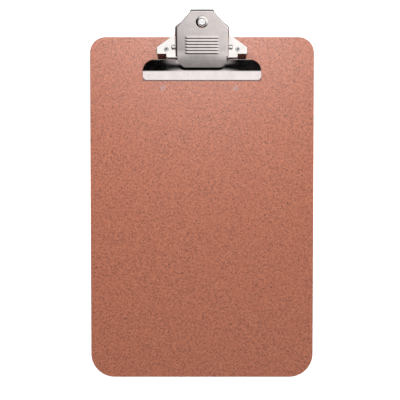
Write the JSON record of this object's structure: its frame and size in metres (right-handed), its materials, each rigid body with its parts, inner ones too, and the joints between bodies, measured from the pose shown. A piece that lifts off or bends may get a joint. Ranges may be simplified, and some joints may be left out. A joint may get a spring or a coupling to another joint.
{
  "type": "clipboard",
  "caption": "Hardboard clipboard with a sprung steel butterfly clip: a ribbed thumb lever, a wide flat jaw and a hanging eyelet, riveted over the top edge.",
  "frame": {"origin": "middle of the whole object's footprint, on the board's back face, with the clipboard lying face up", "axes": "+X to the right across the board, +Y along the board towards the clip, +Z out of the writing face"},
  "size_m": [0.229, 0.375, 0.0342],
  "materials": {
    "hardboard": "sealed hardboard with fine dark fibre flecks and sawn edges",
    "base_steel": "bright nickel plate on stamped sheet",
    "lever_steel": "satin nickel plate on stamped sheet",
    "eyelet_steel": "bright plated eyelet",
    "pin_steel": "plated, peened ends",
    "rivet_steel": "bright plated, rolled ends",
    "spring_steel": "drawn spring wire"
  },
  "bodies": {
    "base": {"board": "hardboard", "clip_base": "base_steel", "hinge_pin": "pin_steel", "torsion_spring": "spring_steel", "rivet_left": "rivet_steel", "rivet_right": "rivet_steel"},
    "lever": {"clip_lever": "lever_steel", "hang_eyelet": "eyelet_steel"}
  },
  "joints": [
    {"name": "lever_hinge", "type": "hinge", "parent": "base", "child": "lever", "pos_m": [0, 0.15165, 0.0124], "axis": [-1, 0, 0], "range_deg": [0, 32], "stiffness_Nm_per_rad": 0.6, "springref_deg": -47.56, "deforming": ["torsion_spring"]}
  ]
}
